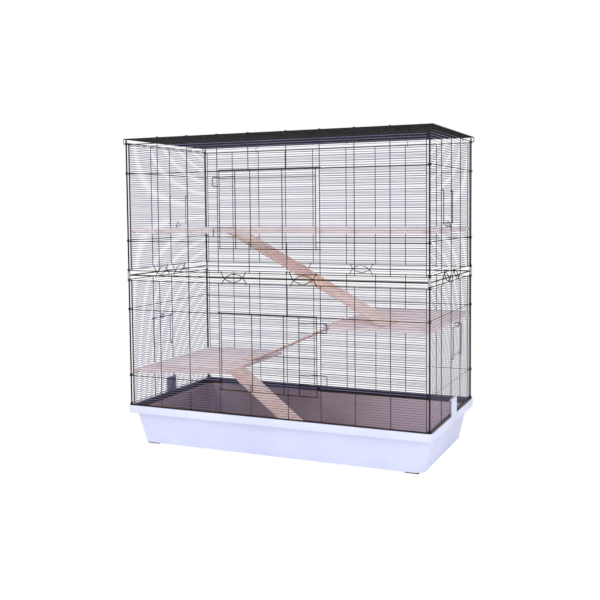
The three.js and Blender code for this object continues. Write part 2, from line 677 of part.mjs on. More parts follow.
/** The seat frame: a flat ring inside the lip that the walls stand on. */
function seatGeometry() {
  const outline = (inset, r) => ring(SEAT_X - inset, SEAT_Y - inset, r, 0).map((p) => [p.x, p.y]);
  const shape = new THREE.Shape(outline(0, SEAT_CORNER).map(([x, y]) => new THREE.Vector2(x, y)));
  const hole = outline(SEAT_W, TRAY_CORNER).map(([x, y]) => new THREE.Vector2(x, y));
  shape.holes.push(new THREE.Path(hole));
  const frame = new THREE.ExtrudeGeometry(shape, { depth: SEAT_H, bevelEnabled: false });
  return frame.translate(0, 0, SEAT_TOP - SEAT_H);
}

const CLIP_OUTER = LIP_X - CLEARANCE;
const CLIP_INNER = CLIP_OUTER - CLIP_THICK;
const CLIP_AXIS_X = CLIP_OUTER - CLIP_THICK / 2;
const CLIP_AXIS_Z = CLIP_NOTCH_Z + CLEARANCE + CLIP_THICK / 2;
const CLIP_TIP_Z = CAGE_Z + EYE_STACK + beltRow(CLIP_ROW) + FINE_HALF + CLEARANCE;

/** A clip: a barrel in the lip's notch, a plate and a tip in over a low row of the side wall. */
function clipGeometry() {
  const tipX = CAGE_W / 2 - CLIP_TIP_REACH;
  const plate = [
    [CLIP_OUTER, CLIP_AXIS_Z],
    [CLIP_OUTER, CLIP_TIP_Z + CLIP_TIP - CLIP_BEVEL],
    [CLIP_OUTER - CLIP_BEVEL, CLIP_TIP_Z + CLIP_TIP],
    [tipX, CLIP_TIP_Z + CLIP_TIP],
    [tipX, CLIP_TIP_Z],
    [CLIP_INNER, CLIP_TIP_Z],
    [CLIP_INNER, CLIP_AXIS_Z],
  ];
  const barrel = bar(CLIP_THICK, CLIP_W, "y", CLIP_BARREL_SIDES);
  barrel.translate(CLIP_AXIS_X, 0, CLIP_AXIS_Z);
  return join([extrudeAlongY(plate, -CLIP_W / 2, CLIP_W / 2), barrel]);
}

// ---- Shelves and ramps --------------------------------------------------------------------------

const SHELF_X = CAGE_W / 2 - WALL_INSIDE - CLEARANCE;
const SHELF_Y = CAGE_D / 2 - WALL_INSIDE - CLEARANCE;
const SHELF_FRONT = SHELF_FRONT_GAP - CAGE_D / 2;
const LOWER_SHELF_FRONT = LOWER_SHELF_CUT - CAGE_D / 2;
const PASSAGE_FRONT = SHELF_FRONT + PASSAGE_RIM;
const UPPER_RAMP_FRONT = PASSAGE_FRONT + (PASSAGE_DEPTH - RAMP_W) / 2;

/** A rectangle's corners, anticlockwise from above. */
const rectangle = (x0, x1, y0, y1) => [[x0, y0], [x1, y0], [x1, y1], [x0, y1]];

/** The top shelf, over the whole plan, with a passage for the ramp. */
function topShelf() {
  const whole = board(rectangle(-SHELF_X, SHELF_X, SHELF_FRONT, SHELF_Y), SHELF_THICK, TOP_SHELF_Z);
  const back = PASSAGE_FRONT + PASSAGE_DEPTH;
  const hole = rectangle(PASSAGE_LEFT, PASSAGE_RIGHT, PASSAGE_FRONT, back);
  const through = SHELF_THICK + 2 * CUT_OVER;
  return cut(whole, [board(hole, through, TOP_SHELF_Z + CUT_OVER)]);
}

/** The middle shelf, at the right-hand end. */
function middleShelf() {
  const outline = rectangle(MIDDLE_SHELF_X, SHELF_X, SHELF_FRONT, SHELF_Y);
  return board(outline, SHELF_THICK, MIDDLE_SHELF_Z);
}

/** The lower shelf, at the left-hand end, cut back at an angle along its front. */
function lowerShelf() {
  const x1 = LOWER_SHELF_X;
  const corner = [-SHELF_X, SHELF_FRONT];
  const outline = [corner, [x1, LOWER_SHELF_FRONT], [x1, SHELF_Y], [-SHELF_X, SHELF_Y]];
  return board(outline, SHELF_THICK, LOWER_SHELF_Z);
}

/** A ramp board whose top face runs through the given points, extruded between two depths. */
function ramp(top, y0, y1) {
  const under = top.map(([x, z]) => [x, z - RAMP_THICK]).reverse();
  return extrudeAlongY([...top.slice().reverse(), ...under.reverse()], y0, y1);
}

const PAN_FLOOR = FOOT_H + TRAY_WALL + CLEARANCE + PAN_WALL - CAGE_Z;
const ON_MIDDLE = MIDDLE_SHELF_Z + CLEARANCE + RAMP_THICK;
const ON_LOWER = LOWER_SHELF_Z + CLEARANCE + RAMP_THICK;
const ON_FLOOR = PAN_FLOOR + CLEARANCE + RAMP_THICK;

/** Points along a slope with a saw of shallow foothold grooves. */
function grooved([x0, z0], [x1, z1]) {
  const count = Math.floor(Math.hypot(x1 - x0, z1 - z0) / RAMP_GROOVE_PITCH);
  const points = [[x0, z0]];
  for (let i = 1; i < count; i++) {
    const t = i / count;
    const step = RAMP_GROOVE_SLOPE / count;
    const at = (s, drop) => [x0 + s * (x1 - x0), z0 + s * (z1 - z0) - drop];
    points.push(at(t - step, 0), at(t, RAMP_GROOVE), at(t + step, 0));
  }
  points.push([x1, z1]);
  return points;
}

const up = (points, lift) => points.map(([x, z]) => [x, z + lift]);
const RAMPS = {
  upper: {
    top: [
      [PASSAGE_LEFT + CLEARANCE, TOP_SHELF_Z],
      UPPER_RAMP.lip,
      ...grooved(UPPER_RAMP.crest, UPPER_RAMP.low),
      ...up([UPPER_RAMP.toe, [UPPER_RAMP.end, 0]], ON_MIDDLE),
    ],
    front: UPPER_RAMP_FRONT,
    width: RAMP_W,
  },
  middle: {
    top: [
      [LOWER_SHELF_X - MIDDLE_RAMP.tail, ON_LOWER],
      [LOWER_SHELF_X - MIDDLE_RAMP.knee, ON_LOWER],
      ...grooved([LOWER_SHELF_X + MIDDLE_RAMP.low[0], ON_LOWER + MIDDLE_RAMP.low[1]], MIDDLE_RAMP.high),
      [MIDDLE_SHELF_X - CLEARANCE, MIDDLE_SHELF_Z],
    ],
    front: MIDDLE_RAMP_FRONT,
    width: RAMP_W,
  },
  lower: {
    top: [
      [LOWER_SHELF_X + CLEARANCE, LOWER_SHELF_Z],
      ...grooved(
        [LOWER_SHELF_X + LOWER_RAMP.crest[0], LOWER_SHELF_Z + LOWER_RAMP.crest[1]],
        [LOWER_RAMP.low[0], ON_FLOOR + LOWER_RAMP.low[1]],
      ),
      [LOWER_RAMP.end, ON_FLOOR],
    ],
    front: LOWER_SHELF_FRONT,
    width: LOWER_RAMP_W,
  },
};

// ---- Assembly -----------------------------------------------------------------------------------

const cage = new THREE.Group();

function add(parent, name, geometry, look) {
  const mesh = new THREE.Mesh(geometry, look);
  mesh.name = name;
  parent.add(mesh);
  return mesh;
}

add(cage, "base_tray", trayGeometry(), TRAY);
add(cage, "litter_pan", panGeometry(), PAN);
add(cage, "seat_frame", seatGeometry(), SEAT);

for (const [row, y] of [["front", -FOOT_Y], ["back", FOOT_Y]]) {
  for (const [side, x] of [["left", -FOOT_X], ["right", FOOT_X]]) {
    const foot = new THREE.BoxGeometry(FOOT_L, FOOT_W, FOOT_H - CLEARANCE);
    add(cage, `foot_${row}_${side}`, foot, FOOT).position.set(x, y, (FOOT_H - CLEARANCE) / 2);
  }
}

for (const [side, turn] of [["right", 0], ["left", Math.PI]]) {
  add(cage, `clip_${side}`, clipGeometry(), TRAY).rotation.z = turn;
}

const wires = new THREE.Group();
wires.position.z = CAGE_Z;
cage.add(wires);

// Four walls a tier, each in a group that turns its own plane to its side of the cage.
const WALLS = {
  front: { turn: 0, x: 0, y: -CAGE_D / 2, lift: 0, length: CAGE_W, uprights: FRONT_UPRIGHTS },
  back: { turn: Math.PI, x: 0, y: CAGE_D / 2, lift: 0, length: CAGE_W, uprights: FRONT_UPRIGHTS },
  left: { turn: -Math.PI / 2, x: -CAGE_W / 2, y: 0, lift: EYE_STACK, length: CAGE_D },
  right: { turn: Math.PI / 2, x: CAGE_W / 2, y: 0, lift: EYE_STACK, length: CAGE_D },
};
const FRONT_OPENING = { x0: -OPENING_X, x1: OPENING_X, z0: LEVELS[1], z1: LEVELS[2] };
const mirrored = ({ x0, x1, z0, z1 }) => ({ x0: -x1, x1: -x0, z0: PANEL_H - z1, z1: PANEL_H - z0 });

for (const tier of ["lower", "upper"]) {
  const upper = tier === "upper";
  for (const [side, wall] of Object.entries(WALLS)) {
    const place = new THREE.Group();
    place.position.set(wall.x, wall.y, (upper ? TIER_RISE : 0) + wall.lift);
    place.rotation.z = wall.turn;
    wires.add(place);
    const isEnd = side === "left" || side === "right";
    const opening = isEnd
      ? upper ? mirrored(SIDE_OPENING) : SIDE_OPENING
      : side === "front" ? FRONT_OPENING : null;
    const panel = wallPanel({
      length: wall.length,
      uprights: isEnd ? SIDE_UPRIGHTS : FRONT_UPRIGHTS,
      tier,
      lift: wall.lift,
      opening,
      locatorX: isEnd ? LOCATOR_SIDE_X : LOCATOR_FRONT_X,
    });
    add(place, `panel_${side}_${tier}`, panel, WIRE);
    if (side === "front") {
      const hinge = upper ? 1 : -1;
      add(place, `front_door_${tier}`, frontDoor(hinge), WIRE);
      add(place, `front_latch_${tier}`, frontLatch(hinge), WIRE);
    }
    if (isEnd) {
      const hung = new THREE.Group();
      hung.rotation.y = upper ? Math.PI : 0;
      hung.position.z = upper ? PANEL_H : 0;
      place.add(hung);
      add(hung, `side_door_${side}_${tier}`, sideDoor(), WIRE);
      add(hung, `side_hook_${side}_${tier}`, sideHook(), WIRE);
    }
  }
}
add(wires, "roof_panel", roofPanel(), WIRE);

// Corner rods plugged into a sleeve from below and above, and a rail between the sleeves.
const ROD_FOOT = SEAT_TOP + CLEARANCE - CAGE_Z;
const ROD_TOP = ROOF_Z - HEAVY_TIP - CLEARANCE;
const PLUG_BOTTOM = RAIL_Z - SLEEVE_L / 2 + ROD_PLUG;
const PLUG_TOP = RAIL_Z + SLEEVE_L / 2 - ROD_PLUG;
const SLEEVE_R = ROD_D / 2 + CLEARANCE + SLEEVE_WALL;
for (const [row, y] of [["front", -CAGE_D / 2], ["back", CAGE_D / 2]]) {
  for (const [side, x] of [["left", -CAGE_W / 2], ["right", CAGE_W / 2]]) {
    const corner = `${row}_${side}`;
    const lower = bar(ROD_D, PLUG_BOTTOM - ROD_FOOT, "z");
    add(wires, `rod_${corner}_lower`, lower, WIRE).position.set(x, y, (PLUG_BOTTOM + ROD_FOOT) / 2);
    const upper = bar(ROD_D, ROD_TOP - PLUG_TOP, "z");
    add(wires, `rod_${corner}_upper`, upper, WIRE).position.set(x, y, (ROD_TOP + PLUG_TOP) / 2);
    const bore = ROD_D / 2 + CLEARANCE;
    const half = SLEEVE_L / 2;
    const profile = [[bore, -half], [SLEEVE_R, -half], [SLEEVE_R, half], [bore, half], [bore, -half]];
    const points = profile.map(([r, z]) => new THREE.Vector2(r, z));
    const sleeve = new THREE.LatheGeometry(points, SLEEVE_SIDES).rotateX(Math.PI / 2);
    add(wires, `sleeve_${corner}`, sleeve, STEEL).position.set(x, y, RAIL_Z);
  }
}
for (const [side, wall] of Object.entries(WALLS)) {
  const rail = bar(RAIL_D, wall.length - 2 * (SLEEVE_R + CLEARANCE), "x");
  const mesh = add(wires, `rail_${side}`, rail, WIRE);
  mesh.position.set(wall.x, wall.y, RAIL_Z);
  mesh.rotation.z = wall.turn;
}

add(wires, "shelf_top", topShelf(), PLYWOOD);
add(wires, "shelf_middle", middleShelf(), PLYWOOD);
add(wires, "shelf_lower", lowerShelf(), PLYWOOD);
for (const [name, { top, front, width }] of Object.entries(RAMPS)) {
  add(wires, `ramp_${name}`, ramp(top, front, front + width), RAMP_WOOD);
}

export default cage;
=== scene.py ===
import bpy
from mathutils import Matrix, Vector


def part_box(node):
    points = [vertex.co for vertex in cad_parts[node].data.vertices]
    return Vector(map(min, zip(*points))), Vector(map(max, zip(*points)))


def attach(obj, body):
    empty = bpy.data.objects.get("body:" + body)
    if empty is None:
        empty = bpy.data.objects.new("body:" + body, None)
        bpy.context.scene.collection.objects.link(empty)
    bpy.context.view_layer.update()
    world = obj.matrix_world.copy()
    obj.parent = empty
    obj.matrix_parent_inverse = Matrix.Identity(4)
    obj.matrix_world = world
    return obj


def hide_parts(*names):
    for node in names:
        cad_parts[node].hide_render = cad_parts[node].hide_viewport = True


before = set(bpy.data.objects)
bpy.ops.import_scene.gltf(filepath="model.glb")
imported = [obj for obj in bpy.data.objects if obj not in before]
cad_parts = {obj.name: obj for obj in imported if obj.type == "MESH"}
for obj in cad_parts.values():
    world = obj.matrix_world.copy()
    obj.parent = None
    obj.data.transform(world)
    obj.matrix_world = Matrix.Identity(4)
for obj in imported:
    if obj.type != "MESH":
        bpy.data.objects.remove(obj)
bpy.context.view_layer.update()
import math

import bmesh
import bpy
from mathutils import Matrix, Vector

# ---- Base tray ----------------------------------------------------------------------------------
# One deep tapered tub of white ABS with a faint blue cast, injection moulded in one piece, with a
# stepped lip that the wire walls stand inside. It lies on four feet and carries everything else.

TRAY_EDGE_MM = 1.2
MERGE_M = 0.00002
FLAT_DEG, EDGE_DEG, SMOOTH_DEG = 1, 35, 40
TRAY_TONES = ("#cdd1ec", "#d7dbf4")


def linear(hex_colour):
    """An sRGB hex colour as linear red, green, blue and alpha."""
    parts = [int(hex_colour[i : i + 2], 16) / 255 for i in (1, 3, 5)]
    tone = [c / 12.92 if c <= 0.04045 else ((c + 0.055) / 1.055) ** 2.4 for c in parts]
    return (*tone, 1.0)


def add_node(tree, kind, settings=None, links=None):
    """A shader node with its settings, by input name, input number or attribute, and its links."""
    made = tree.nodes.new(kind)
    for key, value in (settings or {}).items():
        if isinstance(key, int) or key in made.inputs:
            made.inputs[key].default_value = value
        else:
            setattr(made, key, value)
    for key, socket in (links or {}).items():
        tree.links.new(socket, made.inputs[key])
    return made


def moulded_plastic(name, tones, roughness, grit_mm, painted_light_x=None):
    """Injection-moulded plastic: an even tone that drifts a little with the melt's flow, or fades
    between two places along X in metres as painted light, and the fine grit of a spark-eroded mould,
    which softens its highlights."""
    made = bpy.data.materials.new(name)
    made.use_nodes = True
    tree = made.node_tree
    tree.nodes.clear()
    place = add_node(tree, "ShaderNodeTexCoord").outputs["Object"]
    # Given a range along X, the tone fades across it as painted light instead of drifting at random.
    if painted_light_x:
        melt_flow_or_painted_light = add_node(tree, "ShaderNodeSeparateXYZ", None, {"Vector": place}).outputs["X"]
    else:
        melt = {"Scale": 6.0, "Detail": 2.0}
        melt_flow_or_painted_light = add_node(tree, "ShaderNodeTexNoise", melt, {"Vector": place}).outputs["Fac"]
    low, high = painted_light_x or (0.3, 0.7)
    drift_or_painted_light = add_node(
        tree,
        "ShaderNodeMapRange",
        {"From Min": low, "From Max": high},
        {"Value": melt_flow_or_painted_light},
    )
    tone = add_node(
        tree,
        "ShaderNodeMix",
        {"data_type": "RGBA", 6: linear(tones[0]), 7: linear(tones[1])},
        {0: drift_or_painted_light.outputs[0]},
    )
    grit = add_node(
        tree,
        "ShaderNodeTexNoise",
        {"Scale": 1000 / grit_mm, "Detail": 2.0},
        {"Vector": place},
    )
    gloss = add_node(
        tree,
        "ShaderNodeMapRange",
        {"To Min": roughness - 0.05, "To Max": roughness + 0.08},
        {"Value": grit.outputs["Fac"]},
    )
    relief = add_node(
        tree,
        "ShaderNodeBump",
        {"Strength": 0.15, "Distance": 0.0002},
        {"Height": grit.outputs["Fac"]},
    )
    skin = add_node(
        tree,
        "ShaderNodeBsdfPrincipled",
        {"IOR": 1.5},
        {
            "Base Color": tone.outputs[2],
            "Roughness": gloss.outputs[0],
            "Normal": relief.outputs[0],
        },
    )
    add_node(tree, "ShaderNodeOutputMaterial", None, {"Surface": skin.outputs[0]})
    return made


def softened(node_name, edge_mm):
    """A copy of a node's mesh, merged and with its sharp edges rounded."""
    bpy.ops.object.select_all(action="DESELECT")
    piece = bpy.data.objects.new(node_name + "_soft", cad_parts[node_name].data.copy())
    bpy.context.collection.objects.link(piece)
    mesh = bmesh.new()
    mesh.from_mesh(piece.data)
    bmesh.ops.remove_doubles(mesh, verts=mesh.verts, dist=MERGE_M)
    flat = math.radians(FLAT_DEG)
    bmesh.ops.dissolve_limit(mesh, angle_limit=flat, verts=mesh.verts, edges=mesh.edges)
    bmesh.ops.recalc_face_normals(mesh, faces=mesh.faces)
    mesh.to_mesh(piece.data)
    mesh.free()
    piece.select_set(True)
    bpy.context.view_layer.objects.active = piece
    rounding = piece.modifiers.new("rounding", "BEVEL")
    rounding.width = edge_mm / 1000
    rounding.segments = 3
    rounding.limit_method = "ANGLE"
    rounding.angle_limit = math.radians(EDGE_DEG)
    rounding.use_clamp_overlap = True
    bpy.ops.object.modifier_apply(modifier=rounding.name)
    bpy.ops.object.shade_smooth_by_angle(angle=math.radians(SMOOTH_DEG))
    return piece


def finish(piece, material, body, node_name):
    """Give a piece its material and its body, in place of the node that it draws."""
    if material:
        piece.data.materials.clear()
        piece.data.materials.append(material)
    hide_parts(node_name)
    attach(piece, body)


WHITE_ABS = moulded_plastic("white_moulded_abs", TRAY_TONES, roughness=0.32, grit_mm=0.7)
tray = softened("base_tray", TRAY_EDGE_MM)
finish(tray, WHITE_ABS, "cage_frame", "base_tray")

# ---- Litter pan ---------------------------------------------------------------------------------
# A thinner tub of taupe polypropylene, moulded and glossy inside, that hangs by its flange on the
# tray's ledge and holds the litter. Its tone grows paler towards the right as painted light.

PAN_EDGE_MM = 0.8
# The pale tone and the fade towards it along X are painted light on the pan's right side.
PAN_TONE_AND_PAINTED_LIGHT = ("#a08b8a", "#d6c4cf")
PAN_PAINTED_LIGHT_M = (0.05, 0.42)

TAUPE_PP = moulded_plastic(
    "taupe_polypropylene", PAN_TONE_AND_PAINTED_LIGHT, roughness=0.2, grit_mm=0.9, painted_light_x=PAN_PAINTED_LIGHT_M
)
pan = softened("litter_pan", PAN_EDGE_MM)
finish(pan, TAUPE_PP, "cage_frame", "litter_pan")

# ---- Seat frame ---------------------------------------------------------------------------------
# A flat ring of black moulded plastic dropped inside the tray's lip. It presses the pan's flange
# down, and the lowest wires stand on it.

SEAT_EDGE_MM = 0.8
SEAT_TONES = ("#1a161a", "#242024")

BLACK_PP = moulded_plastic("black_polypropylene", SEAT_TONES, roughness=0.45, grit_mm=0.7)
seat = softened("seat_frame", SEAT_EDGE_MM)
finish(seat, BLACK_PP, "cage_frame", "seat_frame")

# ---- Feet ---------------------------------------------------------------------------------------
# Four flat pads of dark soft rubber under the tray's corners, each pressed on from below. Rubber
# is dull and a little dusty, so its highlights are wide.

FOOT_EDGE_MM = 0.8
FOOT_TONES = ("#232027", "#2f2b33")

DARK_RUBBER = moulded_plastic("dark_rubber", FOOT_TONES, roughness=0.8, grit_mm=0.5)
for corner in ("front_left", "front_right", "back_left", "back_right"):
    foot = softened(f"foot_{corner}", FOOT_EDGE_MM)
    finish(foot, DARK_RUBBER, "cage_frame", f"foot_{corner}")

# ---- Hold-down clips ----------------------------------------------------------------------------
# Two snap clips of the tray's own white ABS, one at each end. Each turns on a barrel in the lip's
# notch and hooks in over a low wire.

CLIP_EDGE_MM = 0.8

for side, out in (("left", -1), ("right", 1)):
    clip = softened(f"clip_{side}", CLIP_EDGE_MM)
    finish(clip, WHITE_ABS, f"clip_{side}_body", f"clip_{side}")

# ---- Wire walls ---------------------------------------------------------------------------------
# Welded grilles of steel wire with a black powder coat, four a tier. Heavy wires end in eyes bent
# round the corner rods, uprights lie inside them, and thin rows run between at 7.2 mm spacing.

CAGE_W, CAGE_D = 1000, 500
CAGE_BASE_Z = 131.19
TIER_RISE = 437.5
PANEL_H = 405
LEVELS = (0, 94.5, 310.5, PANEL_H)
ROWS_PER_BAND = (12, 29, 12)
HEAVY_D, UPRIGHT_D, THIN_D, ROD_D = 2.8, 2.6, 1.7, 5
FRONT_UPRIGHTS = (-385, -277.5, -170, -63, 63, 170, 277.5, 385)
SIDE_UPRIGHTS = (-115, 0, 115)
END_INSET = 9.5
UPRIGHT_IN = 2.1
THIN_IN = 0.1
SIDE_LIFT = 4.1
EYE_GAP = 0.3
EYE_STEPS = 14
EYE_FROM, EYE_TO, EYE_OVERRUN = -142, 158, 1.5
LOCATOR_R, LOCATOR_REACH, LOCATOR_TAIL = 43.7, 28.4, 4.5
LOCATOR_AT = {"front": 116.5, "back": 116.5, "left": 57.5, "right": 57.5}
RAIL_RISE, RAIL_R = 17.5, 2
WELD, WELD_SINK = 1, 0.2
COAT_TONES = ("#0b080d", "#151118")
# The thin wires' lavender grey is painted reflection of the pale room on their black coat.
THIN_WIRE_PAINTED_REFLECTION_TONES = ("#59547a", "#6c6790")


def powder_coat(name, tones, shine):
    """Epoxy powder coat on steel wire: a near-black film with a fine orange peel, which breaks
    the long highlights of the studio lights. The thin wires' paler tones are painted reflection of
    the pale room."""
    made = bpy.data.materials.new(name)
    made.use_nodes = True
    tree = made.node_tree
    tree.nodes.clear()
    place = add_node(tree, "ShaderNodeTexCoord").outputs["Object"]
    cloud = add_node(tree, "ShaderNodeTexNoise", {"Scale": 14.0, "Detail": 2.0}, {"Vector": place})
    spread = add_node(
        tree,
        "ShaderNodeMapRange",
        {"From Min": 0.35, "From Max": 0.65},
        {"Value": cloud.outputs["Fac"]},
    )
    tone = add_node(
        tree,
        "ShaderNodeMix",
        {"data_type": "RGBA", 6: linear(tones[0]), 7: linear(tones[1])},
        {0: spread.outputs[0]},
    )
    peel = add_node(tree, "ShaderNodeTexNoise", {"Scale": 900.0, "Detail": 3.0}, {"Vector": place})
    gloss = add_node(
        tree,
        "ShaderNodeMapRange",
        {"To Min": 0.4, "To Max": 0.55},
        {"Value": peel.outputs["Fac"]},
    )
    film = add_node(
        tree,
        "ShaderNodeBsdfPrincipled",
        {"IOR": 1.5, "Specular IOR Level": shine},
        {"Base Color": tone.outputs[2], "Roughness": gloss.outputs[0]},
    )
    add_node(tree, "ShaderNodeOutputMaterial", None, {"Surface": film.outputs[0]})
    return made


BLACK_COAT = powder_coat("black_powder_coat", COAT_TONES, shine=0.25)
THIN_COAT_PAINTED_REFLECTION = powder_coat("black_powder_coat_with_painted_reflection_on_thin_wire", THIN_WIRE_PAINTED_REFLECTION_TONES, shine=0.5)


def bent_wires(name, place, gauges, thin_coat=THIN_COAT_PAINTED_REFLECTION):
    """One mesh of round wires. Each gauge is a diameter and its runs of points, all in a plane's
    own millimetres (along, inward, up), which `place` carries to the cage."""
    bpy.ops.object.select_all(action="DESELECT")
    for diameter, runs in gauges:
        thin = diameter <= THIN_D
        curve = bpy.data.curves.new(name, "CURVE")
        curve.dimensions = "3D"
        curve.bevel_depth = diameter / 2000
        curve.bevel_resolution = 1 if thin else 2
        curve.use_fill_caps = True
        curve.materials.append(thin_coat if thin else BLACK_COAT)
        for run in runs:
            spline = curve.splines.new("POLY")
            spline.points.add(len(run) - 1)
            for point, (x, y, z) in zip(spline.points, run):
                point.co = (*(place @ Vector((x / 1000, y / 1000, z / 1000))), 1.0)
        piece = bpy.data.objects.new(name, curve)
        bpy.context.collection.objects.link(piece)
        piece.select_set(True)
        bpy.context.view_layer.objects.active = piece
    bpy.ops.object.convert(target="MESH")
    if len(gauges) > 1:
        bpy.ops.object.join()
    piece = bpy.context.view_layer.objects.active
    piece.name = name
    bpy.ops.object.shade_smooth_by_angle(angle=math.radians(50))
    return piece


def arc(centre, radius, start, end, steps):
    """Points round a centre, from one angle to another in degrees."""
    angles = [math.radians(start + (end - start) * k / steps) for k in range(steps + 1)]
    return [(centre[0] + radius * math.cos(a), centre[1] + radius * math.sin(a)) for a in angles]


def heavy_wire(half, z):
    """A heavy wire whose ends are bent round the rods."""
    eye = arc((half, 0), ROD_D / 2 + EYE_GAP + HEAVY_D / 2, EYE_FROM, EYE_TO, EYE_STEPS)
    right = [(half - END_INSET + EYE_OVERRUN, 0), *eye]
    left = [(-x, y) for x, y in reversed(right)]
    return [(x, y, z) for x, y in left + right]


def locator(x, upper, rail_distance):
    """The hooked arc that passes the rail and keeps the two tiers in line."""
    at_weld = (HEAVY_D + UPRIGHT_D) / 2 - WELD_SINK
    at_rail = RAIL_R + EYE_GAP + UPRIGHT_D / 2
    slope = max((at_rail - at_weld) / (rail_distance - RAIL_R), 0.0)
    out, level = (-1, 0) if upper else (1, PANEL_H)
    sweep = math.degrees(math.acos((LOCATOR_R - LOCATOR_REACH - LOCATOR_TAIL) / LOCATOR_R))
    bow = arc((0, LOCATOR_REACH - LOCATOR_R), LOCATOR_R, 90 + sweep, 90 - sweep, 2 * EYE_STEPS)
    return [(x + dx, out * (at_weld + slope * rise), level + out * rise) for dx, rise in bow]


def wall_place(side, tier):
    """Where a wall's own plane stands, and how far the end walls are lifted over the long ones."""
    turn, x, y, lift = {
        "front": (0, 0, -CAGE_D / 2, 0),
        "back": (180, 0, CAGE_D / 2, 0),
        "left": (-90, -CAGE_W / 2, 0, SIDE_LIFT),
        "right": (90, CAGE_W / 2, 0, SIDE_LIFT),
    }[side]
    rise = CAGE_BASE_Z + lift + (TIER_RISE if tier == "upper" else 0)
    spot = Matrix.Translation((x / 1000, y / 1000, rise / 1000))
    return spot @ Matrix.Rotation(math.radians(turn), 4, "Z"), lift


# Each gap in the rows and uprights for a door: from and to along the wall, then from and to in
# height. The end walls' gaps are set in pitches of two rows.
SIDE_PITCH = (LEVELS[2] - LEVELS[1]) / 15
GAP_FOOT, GAP_HEAD = 5.5, 11.5
DOOR_POST_LEFT, DOOR_POST_RIGHT = FRONT_UPRIGHTS[2], FRONT_UPRIGHTS[5]
FRONT_GAP = (DOOR_POST_LEFT, DOOR_POST_RIGHT, LEVELS[1], LEVELS[2])
SIDE_GAP = (
    SIDE_UPRIGHTS[1],
    SIDE_UPRIGHTS[2],
    LEVELS[1] + GAP_FOOT * SIDE_PITCH,
    LEVELS[1] + GAP_HEAD * SIDE_PITCH,
)
SIDE_GAP_UPPER = (SIDE_UPRIGHTS[0], SIDE_UPRIGHTS[1], PANEL_H - SIDE_GAP[3], PANEL_H - SIDE_GAP[2])

for tier in ("lower", "upper"):
    for side in ("front", "back", "left", "right"):
        place, lift = wall_place(side, tier)
        is_end = side in ("left", "right")
        half = (CAGE_D if is_end else CAGE_W) / 2
        edge = half - END_INSET
        gap = {"front": FRONT_GAP, "back": None}.get(
            side, SIDE_GAP_UPPER if tier == "upper" else SIDE_GAP
        )
        posts = []
        for x in (-edge, *(SIDE_UPRIGHTS if is_end else FRONT_UPRIGHTS), edge):
            if gap and gap[0] < x < gap[1]:
                spans = ((-WELD, gap[2] + WELD), (gap[3] - WELD, PANEL_H + WELD))
            else:
                spans = ((-WELD, PANEL_H + WELD),)
            posts += [[(x, UPRIGHT_IN, low), (x, UPRIGHT_IN, high)] for low, high in spans]
        rows = []
        for low, high, count in zip(LEVELS, LEVELS[1:], ROWS_PER_BAND):
            for k in range(1, count + 1):
                z = low + (high - low) * k / (count + 1)
                spans = ((-edge - WELD, edge + WELD),)
                if gap and gap[2] < z < gap[3]:
                    spans = ((-edge - WELD, gap[0] + WELD), (gap[1] - WELD, edge + WELD))
                rows += [[(x0, THIN_IN, z), (x1, THIN_IN, z)] for x0, x1 in spans]
        rail_z = PANEL_H + RAIL_RISE
        distance = TIER_RISE + lift - rail_z if tier == "upper" else rail_z - PANEL_H - lift
        arcs = [locator(x, tier == "upper", distance) for x in (-LOCATOR_AT[side], LOCATOR_AT[side])]
        wall = bent_wires(
            f"wall_{side}_{tier}",
            place,
            (
                (HEAVY_D, [heavy_wire(half, z) for z in LEVELS]),
                (UPRIGHT_D, posts + arcs),
                (THIN_D, rows),
            ),
        )
        finish(wall, None, "cage_frame", f"panel_{side}_{tier}")

# ---- Corner rods and rails ----------------------------------------------------------------------
# Straight round steel, coated as the walls are. The rods thread the walls' eyes at each corner,
# and the rails run between the sleeves where the tiers meet. Their ends are lightly chamfered.

BAR_SIDES = 20
BAR_CHAMFER_MM = 0.4
INSIDE_BOX = 0.498

bars = [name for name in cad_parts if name.startswith(("rod_", "rail_"))]
for name in bars:
    low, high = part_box(name)
    size = high - low
    axis = max(range(3), key=lambda i: size[i])
    turn = ((0, math.pi / 2, 0), (math.pi / 2, 0, 0), (0, 0, 0))[axis]
    bpy.ops.object.select_all(action="DESELECT")
    bpy.ops.mesh.primitive_cylinder_add(
        vertices=BAR_SIDES,
        radius=min(size) * INSIDE_BOX,
        depth=size[axis],
        location=(low + high) / 2,
        rotation=turn,
    )
    rod = bpy.context.active_object
    rod.name = name + "_round"
    bpy.ops.object.transform_apply(location=True, rotation=True, scale=True)
    chamfer = rod.modifiers.new("chamfer", "BEVEL")
    chamfer.width = BAR_CHAMFER_MM / 1000
    chamfer.limit_method = "ANGLE"
    chamfer.angle_limit = math.radians(60)
    bpy.ops.object.modifier_apply(modifier=chamfer.name)
    bpy.ops.object.shade_smooth_by_angle(angle=math.radians(30))
    finish(rod, BLACK_COAT, "cage_frame", name)

# ---- Sleeves ------------------------------------------------------------------------------------
# Four short tubes of zinc-plated steel, cut and deburred, slipped over the rods' ends to join the
# tiers. The plating is bright, with a faint cloud of crystals.

SLEEVE_WALL_MM = 1.45
SLEEVE_EDGE_MM = 0.4
SLEEVE_SIDES = 32
ZINC_TONES = ("#90939d", "#babdc7")

